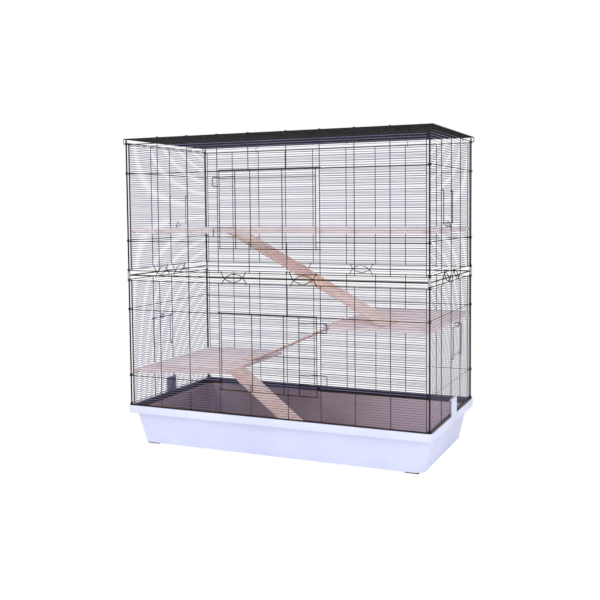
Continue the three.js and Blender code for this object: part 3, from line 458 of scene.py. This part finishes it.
ZINC = bpy.data.materials.new("zinc_plate")
ZINC.use_nodes = True
tree = ZINC.node_tree
tree.nodes.clear()
place = add_node(tree, "ShaderNodeTexCoord").outputs["Object"]
cloud = add_node(tree, "ShaderNodeTexNoise", {"Scale": 260.0, "Detail": 3.0}, {"Vector": place})
tone = add_node(
    tree,
    "ShaderNodeMix",
    {"data_type": "RGBA", 6: linear(ZINC_TONES[0]), 7: linear(ZINC_TONES[1])},
    {0: cloud.outputs["Fac"]},
)
gloss = add_node(
    tree,
    "ShaderNodeMapRange",
    {"To Min": 0.25, "To Max": 0.4},
    {"Value": cloud.outputs["Fac"]},
)
plate = add_node(
    tree,
    "ShaderNodeBsdfPrincipled",
    {"Metallic": 0.85},
    {"Base Color": tone.outputs[2], "Roughness": gloss.outputs[0]},
)
add_node(tree, "ShaderNodeOutputMaterial", None, {"Surface": plate.outputs[0]})

for name in [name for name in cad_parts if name.startswith("sleeve_")]:
    low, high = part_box(name)
    size = high - low
    bpy.ops.object.select_all(action="DESELECT")
    bpy.ops.mesh.primitive_cylinder_add(
        vertices=SLEEVE_SIDES,
        radius=min(size) * INSIDE_BOX,
        depth=size.z,
        end_fill_type="NOTHING",
        location=(low + high) / 2,
    )
    sleeve = bpy.context.active_object
    sleeve.name = name + "_tube"
    bpy.ops.object.transform_apply(location=True, rotation=True, scale=True)
    tube = sleeve.modifiers.new("tube", "SOLIDIFY")
    tube.thickness = SLEEVE_WALL_MM / 1000
    tube.offset = -1
    bpy.ops.object.modifier_apply(modifier=tube.name)
    deburr = sleeve.modifiers.new("deburr", "BEVEL")
    deburr.width = SLEEVE_EDGE_MM / 1000
    deburr.segments = 2
    deburr.limit_method = "ANGLE"
    deburr.angle_limit = math.radians(60)
    bpy.ops.object.modifier_apply(modifier=deburr.name)
    bpy.ops.object.shade_smooth_by_angle(angle=math.radians(30))
    finish(sleeve, ZINC, "cage_frame", name)

# ---- Front doors --------------------------------------------------------------------------------
# One welded grille a tier, outside the wall. Its top and bottom wires are hooked round an upright
# of the wall, on the left below and on the right above, and it swings out on them.

DOOR_HALF, DOOR_INNER = 160, 53
DOOR_LOW, DOOR_HIGH = 74.25, 313.84
DOOR_OUT, DOOR_TAIL = -4.0, 2
DOOR_HINGE_X, DOOR_HOOK_R = 170, 3.2
DOOR_HOOK_FROM, DOOR_HOOK_TO, DOOR_HOOK_STEPS = -60, 180, 12
DOOR_ROWS = 33
DOOR_ROW_IN = 0.2
DOOR_POST_OUT, DOOR_POST_MORE = 2.3, 0.6

for tier, hinge in (("lower", -1), ("upper", 1)):
    place, _ = wall_place("front", tier)
    bend = (DOOR_HOOK_FROM, DOOR_HOOK_TO, DOOR_HOOK_STEPS)
    hook = arc((DOOR_HINGE_X, UPRIGHT_IN), DOOR_HOOK_R, *bend)
    rim = [(-DOOR_HALF - DOOR_TAIL, DOOR_OUT), (DOOR_HALF + DOOR_TAIL, DOOR_OUT), *hook]
    frame_wires = [[(hinge * x, y, z) for x, y in rim] for z in (DOOR_LOW, DOOR_HIGH)]
    for x in (-DOOR_HALF, DOOR_HALF):
        frame_wires.append([(x, DOOR_OUT, DOOR_LOW), (x, DOOR_OUT, DOOR_HIGH)])
    for x in (-DOOR_INNER, DOOR_INNER):
        y = DOOR_OUT - DOOR_POST_OUT
        ends = (DOOR_LOW - DOOR_POST_MORE, DOOR_HIGH + DOOR_POST_MORE)
        frame_wires.append([(x, y, z) for z in ends])
    rows = []
    for k in range(1, DOOR_ROWS + 1):
        z = DOOR_LOW + (DOOR_HIGH - DOOR_LOW) * k / (DOOR_ROWS + 1)
        rows.append([(x, DOOR_OUT + DOOR_ROW_IN, z) for x in (-DOOR_HALF, DOOR_HALF)])
    door = bent_wires(
        f"front_door_{tier}_grille", place, ((UPRIGHT_D, frame_wires), (THIN_D, rows))
    )
    finish(door, None, f"front_door_{tier}_body", f"front_door_{tier}")

# ---- Front latches ------------------------------------------------------------------------------
# One bent and welded wire a door: an upright rod in front with two long loops that pass through
# the door and slide in behind the wall's upright. It is pushed along by a finger.

LATCH_ROD_X, LATCH_BEND_X, LATCH_IN_X, LATCH_END_X = 104, 128, 150, 188
LATCH_OUT, LATCH_IN = -6.4, 5.4
LATCH_LOOP_R, LATCH_LOOP_STEPS = 4, 4
LATCH_ROD_SHORT = 1.5
LATCH_PITCH = (DOOR_HIGH - DOOR_LOW) / 17
LATCH_LOOPS, LATCH_LOOP_PITCHES = (2.5, 13.5), 2

for tier, free in (("lower", 1), ("upper", -1)):
    place, _ = wall_place("front", tier)
    ends = (DOOR_LOW + LATCH_ROD_SHORT, DOOR_HIGH - LATCH_ROD_SHORT)
    runs = [[(LATCH_ROD_X, LATCH_OUT, z) for z in ends]]
    for rows_up in LATCH_LOOPS:
        low = DOOR_LOW + rows_up * LATCH_PITCH
        high = low + LATCH_LOOP_PITCHES * LATCH_PITCH
        arm = ((LATCH_ROD_X, LATCH_OUT), (LATCH_BEND_X, LATCH_OUT), (LATCH_IN_X, LATCH_IN))
        nose = LATCH_END_X - LATCH_LOOP_R
        under = arc((nose, low + LATCH_LOOP_R), LATCH_LOOP_R, -90, 0, LATCH_LOOP_STEPS)
        over = arc((nose, high - LATCH_LOOP_R), LATCH_LOOP_R, 0, 90, LATCH_LOOP_STEPS)
        loop = [(x, y, low) for x, y in arm]
        loop += [(x, LATCH_IN, z) for x, z in under + over]
        loop += [(x, y, high) for x, y in reversed(arm)]
        runs.append(loop)
    runs = [[(free * x, y, z) for x, y, z in run] for run in runs]
    latch = bent_wires(f"front_latch_{tier}_wire", place, ((UPRIGHT_D, runs),))
    finish(latch, None, f"front_latch_{tier}_body", f"front_latch_{tier}")

# ---- Side doors ---------------------------------------------------------------------------------
# A one-bay hatch in each end wall of each tier, of the same welded wire. It hangs by two hooks
# round a thin row, at its foot below and at its head above, and opens outwards.

HATCH_LEFT, HATCH_RIGHT, HATCH_MORE = 5.5, 109.5, 9
HATCH_OUT, HATCH_HOOK_R = -2.85, 2.9
HATCH_AXIS, HATCH_FREE = 166.5, 261.3
HATCH_HOOK_FROM, HATCH_HOOK_TO, HATCH_HOOK_STEPS, HATCH_STEM = 30, -150, 9, 3.6
HATCH_ROWS = 12
HATCH_ROW_IN = 0.1


def hatch_place(side, tier):
    """A hatch's own plane: upright in the lower tier and upside down in the upper one."""
    place, _ = wall_place(side, tier)
    if tier == "lower":
        return place
    return place @ Matrix.Translation((0, 0, PANEL_H / 1000)) @ Matrix.Rotation(math.pi, 4, "Y")


for tier in ("lower", "upper"):
    for side in ("left", "right"):
        posts = []
        for x in (HATCH_LEFT, HATCH_RIGHT):
            bend = (HATCH_HOOK_FROM, HATCH_HOOK_TO, HATCH_HOOK_STEPS)
            hook = arc((0, HATCH_AXIS), HATCH_HOOK_R, *bend)
            stem = [(HATCH_OUT, HATCH_AXIS + HATCH_STEM), (HATCH_OUT, HATCH_FREE)]
            posts.append([(x, y, z) for y, z in hook + stem])
        ends = (HATCH_LEFT - HATCH_MORE, HATCH_RIGHT + HATCH_MORE)
        posts.append([(x, HATCH_OUT, HATCH_FREE) for x in ends])
        rows = []
        for k in range(1, HATCH_ROWS + 1):
            z = HATCH_AXIS + (HATCH_FREE - HATCH_AXIS) * k / (HATCH_ROWS + 1)
            rows.append([(x, HATCH_OUT + HATCH_ROW_IN, z) for x in (HATCH_LEFT, HATCH_RIGHT)])
        name = f"side_door_{side}_{tier}"
        gauges = ((UPRIGHT_D, posts), (THIN_D, rows))
        hatch = bent_wires(name + "_grille", hatch_place(side, tier), gauges)
        finish(hatch, None, name + "_body", name)

# ---- Side catches -------------------------------------------------------------------------------
# A small hook bent from one wire, with an eye on the hatch's free wire, a claw that grips the row
# beyond it and a tail for the finger. The claw is sprung off to let the hatch fall open.

CATCH_D = 2.4
CATCH_CLAW_R, CATCH_EYE_R = 9.6, 3.3
CATCH_CLAW_ARC, CATCH_EYE_ARC = (20, 140, 8), (190, 370, 8)
CATCH_TAIL, CATCH_TAIL_OUT = 11.5, 1

for tier in ("lower", "upper"):
    for side in ("left", "right"):
        middle = (HATCH_LEFT + HATCH_RIGHT) / 2
        claw = arc((HATCH_OUT, HATCH_FREE), CATCH_CLAW_R, *CATCH_CLAW_ARC)
        eye = arc((HATCH_OUT, HATCH_FREE), CATCH_EYE_R, *CATCH_EYE_ARC)
        y, z = claw[-1]
        runs = [claw + eye, [(y, z), (y - CATCH_TAIL_OUT, z + CATCH_TAIL)]]
        runs = [[(middle, y, z) for y, z in run] for run in runs]
        name = f"side_hook_{side}_{tier}"
        catch = bent_wires(name + "_wire", hatch_place(side, tier), ((CATCH_D, runs),))
        finish(catch, None, name + "_body", name)

# ---- Roof ---------------------------------------------------------------------------------------
# One flat welded grille with close lengthwise rows. Its cross wires curl down over the long edges,
# each short edge has a flange, and four small hooks catch under the walls' top wires.

ROOF_Z, ROOF_HALF_X = 860, 509.5
ROOF_FLANGE, ROOF_CURL, ROOF_OVER = 16, 3, 2.9
ROOF_ROWS = 69
ROOF_WIRE_D, ROOF_HOOK_D = 2.5, 1.8
ROOF_LAP_OUT, ROOF_LAP_IN = 1.5, 2
ROOF_HOOK_X, ROOF_HOOK_Y, ROOF_HOOK_IN = 286, 145, 3.6
ROOF_HOOK_DROP, ROOF_HOOK_UNDER, ROOF_HOOK_REACH = 3, 2.9, 2.8

half_y = CAGE_D / 2
edges = [[(-ROOF_HALF_X, y, ROOF_Z), (ROOF_HALF_X, y, ROOF_Z)] for y in (-half_y, half_y)]
cross = []
for x in (-ROOF_HALF_X, ROOF_HALF_X):
    low = ROOF_Z - ROOF_FLANGE
    cross.append([(x, -half_y, ROOF_Z), (x, -half_y, low), (x, half_y, low), (x, half_y, ROOF_Z)])
    cross.append([(x, -half_y, ROOF_Z), (x, half_y, ROOF_Z)])
for x in FRONT_UPRIGHTS:
    curl = [
        (x, -half_y - ROOF_OVER, ROOF_Z - ROOF_CURL),
        (x, -half_y - ROOF_OVER, ROOF_Z),
        (x, -half_y - ROOF_LAP_OUT, ROOF_Z + UPRIGHT_IN),
        (x, -half_y + ROOF_LAP_IN, ROOF_Z + UPRIGHT_IN),
    ]
    cross.append(curl + [(px, -py, pz) for px, py, pz in reversed(curl)])
rows = []
for k in range(1, ROOF_ROWS + 1):
    y = -half_y + CAGE_D * k / (ROOF_ROWS + 1)
    rows.append([(-ROOF_HALF_X, y, ROOF_Z + THIN_IN), (ROOF_HALF_X, y, ROOF_Z + THIN_IN)])
hooks = []
wall_top = TIER_RISE + PANEL_H
for x in (-ROOF_HOOK_X, ROOF_HOOK_X):
    under, inner = wall_top - ROOF_HOOK_UNDER, half_y - ROOF_HOOK_IN
    drop = ((half_y, ROOF_Z), (half_y, ROOF_Z - ROOF_HOOK_DROP))
    turn = ((inner, (ROOF_Z + wall_top) / 2), (inner, under), (half_y + ROOF_HOOK_REACH, under))
    hooks.append([(x, y, z) for y, z in drop + turn])
for side in (-1, 1):
    under, inner = wall_top + SIDE_LIFT - ROOF_HOOK_UNDER, CAGE_W / 2 - ROOF_HOOK_IN
    drop = ((ROOF_HALF_X, ROOF_Z), (ROOF_HALF_X, ROOF_Z - ROOF_HOOK_DROP))
    turn = ((inner, (ROOF_Z + wall_top) / 2), (inner, under), (CAGE_W / 2 + ROOF_HOOK_REACH, under))
    hooks.append([(side * x, ROOF_HOOK_Y, z) for x, z in drop + turn])
roof = bent_wires(
    "roof_grille",
    Matrix.Translation((0, 0, CAGE_BASE_Z / 1000)),
    ((HEAVY_D, edges), (ROOF_WIRE_D, cross), (ROOF_HOOK_D, hooks), (THIN_D, rows)),
    thin_coat=BLACK_COAT,
)
finish(roof, None, "cage_frame", "roof_panel")

# ---- Shelves ------------------------------------------------------------------------------------
# Three boards of 10 mm poplar plywood, sawn and sanded but not finished, that rest between the
# walls. The face veneer is pale with a pinkish cast, and the plies show along the sawn edges.

SHELF_EDGE_MM = 0.8
POPLAR_TONES = ("#f3dfde", "#fef5f6")
POPLAR_PLIES = ("#e6cdc8", "#fdf4f3")


def sanded_wood(name, tones, plies, grain_mm, ply_mm):
    """Sanded bare wood with its grain along X: fine dull streaks and a soft broken sheen. Faces
    that stand upright show their plies as thin bands, drawn at the real thickness."""
    made = bpy.data.materials.new(name)
    made.use_nodes = True
    tree = made.node_tree
    tree.nodes.clear()
    place = add_node(tree, "ShaderNodeTexCoord").outputs["Object"]
    along = add_node(
        tree,
        "ShaderNodeMapping",
        {"Scale": (50 / grain_mm, 1000 / grain_mm, 1000 / grain_mm)},
        {"Vector": place},
    )
    grain = add_node(
        tree,
        "ShaderNodeTexNoise",
        {"Scale": 1.0, "Detail": 6.0},
        {"Vector": along.outputs[0]},
    )
    streak = add_node(
        tree,
        "ShaderNodeTexWave",
        {"Scale": 0.12, "Distortion": 9.0, "Detail": 3.0},
        {"Vector": along.outputs[0]},
    )
    figure = add_node(
        tree,
        "ShaderNodeMath",
        {"operation": "MULTIPLY_ADD", 2: 0.25},
        {0: grain.outputs["Fac"], 1: streak.outputs["Fac"]},
    )
    spread = add_node(
        tree,
        "ShaderNodeMapRange",
        {"From Min": 0.25, "From Max": 0.8},
        {"Value": figure.outputs[0]},
    )
    face = add_node(
        tree,
        "ShaderNodeMix",
        {"data_type": "RGBA", 6: linear(tones[0]), 7: linear(tones[1])},
        {0: spread.outputs[0]},
    )
    height = add_node(tree, "ShaderNodeSeparateXYZ", None, {"Vector": place})
    turns = add_node(
        tree,
        "ShaderNodeMath",
        {"operation": "MULTIPLY", 1: 2000 * math.pi / ply_mm},
        {0: height.outputs["Z"]},
    )
    wave = add_node(tree, "ShaderNodeMath", {"operation": "SINE"}, {0: turns.outputs[0]})
    edge = add_node(
        tree,
        "ShaderNodeMix",
        {"data_type": "RGBA", 6: linear(plies[0]), 7: linear(plies[1])},
        {0: wave.outputs[0]},
    )
    facing = add_node(tree, "ShaderNodeNewGeometry")
    normal = add_node(tree, "ShaderNodeSeparateXYZ", None, {"Vector": facing.outputs["Normal"]})
    tilt = add_node(tree, "ShaderNodeMath", {"operation": "ABSOLUTE"}, {0: normal.outputs["Z"]})
    upright = add_node(
        tree,
        "ShaderNodeMath",
        {"operation": "LESS_THAN", 1: 0.3},
        {0: tilt.outputs[0]},
    )
    tone = add_node(
        tree,
        "ShaderNodeMix",
        {"data_type": "RGBA"},
        {0: upright.outputs[0], 6: face.outputs[2], 7: edge.outputs[2]},
    )
    relief = add_node(
        tree,
        "ShaderNodeBump",
        {"Strength": 0.25, "Distance": 0.0004},
        {"Height": grain.outputs["Fac"]},
    )
    wood = add_node(
        tree,
        "ShaderNodeBsdfPrincipled",
        {"Roughness": 0.7, "IOR": 1.5},
        {"Base Color": tone.outputs[2], "Normal": relief.outputs[0]},
    )
    add_node(tree, "ShaderNodeOutputMaterial", None, {"Surface": wood.outputs[0]})
    return made


POPLAR = sanded_wood(
    "sanded_poplar_plywood", POPLAR_TONES, POPLAR_PLIES, grain_mm=16, ply_mm=3.3
)
for name in ("shelf_top", "shelf_middle", "shelf_lower"):
    finish(softened(name, SHELF_EDGE_MM), POPLAR, "cage_frame", name)

# ---- Ramps --------------------------------------------------------------------------------------
# Three strips of 5 mm birch ply, warmer than the shelves, with shallow saw grooves across them
# for the animals' feet. Each hooks on the shelf above and rests on what is below it.

RAMP_EDGE_MM = 0.4
BIRCH_TONES = ("#f2d5c6", "#fdece3")
BIRCH_PLIES = ("#d9b49c", "#f6dccb")

BIRCH = sanded_wood("sanded_birch_plywood", BIRCH_TONES, BIRCH_PLIES, grain_mm=16, ply_mm=2.5)
for name in ("ramp_upper", "ramp_middle", "ramp_lower"):
    finish(softened(name, RAMP_EDGE_MM), BIRCH, "cage_frame", name)

# ---- Studio floor, light and camera -------------------------------------------------------------
# A seamless white paper sweep, burnt out to pure white behind the cage, one large soft light from
# the front left and a weaker one from the front right.

SWEEP_M = 14

bpy.ops.object.select_all(action="DESELECT")
bpy.ops.mesh.primitive_plane_add(size=SWEEP_M, location=(0, 0, 0))
floor = bpy.context.active_object
floor.name = "paper_sweep"
PAPER = bpy.data.materials.new("white_paper")
PAPER.use_nodes = True
tree = PAPER.node_tree
tree.nodes.clear()
place = add_node(tree, "ShaderNodeTexCoord").outputs["Object"]
fibre = add_node(tree, "ShaderNodeTexNoise", {"Scale": 3.0}, {"Vector": place})
pale = add_node(
    tree,
    "ShaderNodeMix",
    {"data_type": "RGBA", 6: linear("#fdfdfd"), 7: linear("#ffffff")},
    {0: fibre.outputs["Fac"]},
)
sheet = add_node(tree, "ShaderNodeBsdfDiffuse", None, {"Color": pale.outputs[2]})
burnt = add_node(tree, "ShaderNodeEmission", {"Strength": 1.0})
ray = add_node(tree, "ShaderNodeLightPath")
seen = add_node(
    tree,
    "ShaderNodeMixShader",
    None,
    {0: ray.outputs["Is Camera Ray"], 1: sheet.outputs[0], 2: burnt.outputs[0]},
)
add_node(tree, "ShaderNodeOutputMaterial", None, {"Surface": seen.outputs[0]})
floor.data.materials.append(PAPER)

ROOM_STRENGTH = 0.9
SOFTBOX_M = 2.4
world = bpy.data.worlds.new("studio")
bpy.context.scene.world = world
world.use_nodes = True
tree = world.node_tree
sky = tree.nodes["Background"]
sky.inputs["Color"].default_value = (1, 1, 1, 1)
ray = add_node(tree, "ShaderNodeLightPath")
direct = add_node(
    tree,
    "ShaderNodeMath",
    {"operation": "MAXIMUM"},
    {0: ray.outputs["Is Camera Ray"], 1: ray.outputs["Is Transmission Ray"]},
)
strength = add_node(
    tree,
    "ShaderNodeMapRange",
    {"To Min": ROOM_STRENGTH, "To Max": 1.0},
    {"Value": direct.outputs[0]},
)
tree.links.new(strength.outputs[0], sky.inputs["Strength"])

for name, spot, turn, watts in (
    ("key_softbox", (-2.2, -2.6, 3.0), (50, 0, -40), 60),
    ("fill_softbox", (2.8, -2.0, 1.8), (65, 0, 55), 26),
):
    lamp = bpy.data.lights.new(name, "AREA")
    lamp.size = SOFTBOX_M
    lamp.energy = watts
    holder = bpy.data.objects.new(name, lamp)
    holder.location = spot
    holder.rotation_euler = [math.radians(angle) for angle in turn]
    bpy.context.collection.objects.link(holder)

# The viewpoint was solved from the cage's corners: metres, degrees, and pixels of a square frame.
CAMERA_AT = (1.14403, -2.57508, 0.75577)
CAMERA_YAW, CAMERA_PITCH, CAMERA_ROLL = 23.802, 3.650, -0.518
FRAME_PX, FOCAL_PX = 600, 863.73
CENTRE_PX = (303.64, 266.18)

lens = bpy.data.cameras.new("camera")
lens.sensor_width = 36
lens.lens = lens.sensor_width * FOCAL_PX / FRAME_PX
lens.shift_x = (FRAME_PX / 2 - CENTRE_PX[0]) / FRAME_PX
lens.shift_y = (CENTRE_PX[1] - FRAME_PX / 2) / FRAME_PX
lens.clip_end = 50
camera = bpy.data.objects.new("camera", lens)
bpy.context.collection.objects.link(camera)
camera.matrix_world = (
    Matrix.Translation(CAMERA_AT)
    @ Matrix.Rotation(math.radians(CAMERA_YAW), 4, "Z")
    @ Matrix.Rotation(math.radians(90 - CAMERA_PITCH), 4, "X")
    @ Matrix.Rotation(math.radians(CAMERA_ROLL), 4, "Z")
)
bpy.context.scene.camera = camera
bpy.context.scene.view_settings.view_transform = "Standard"
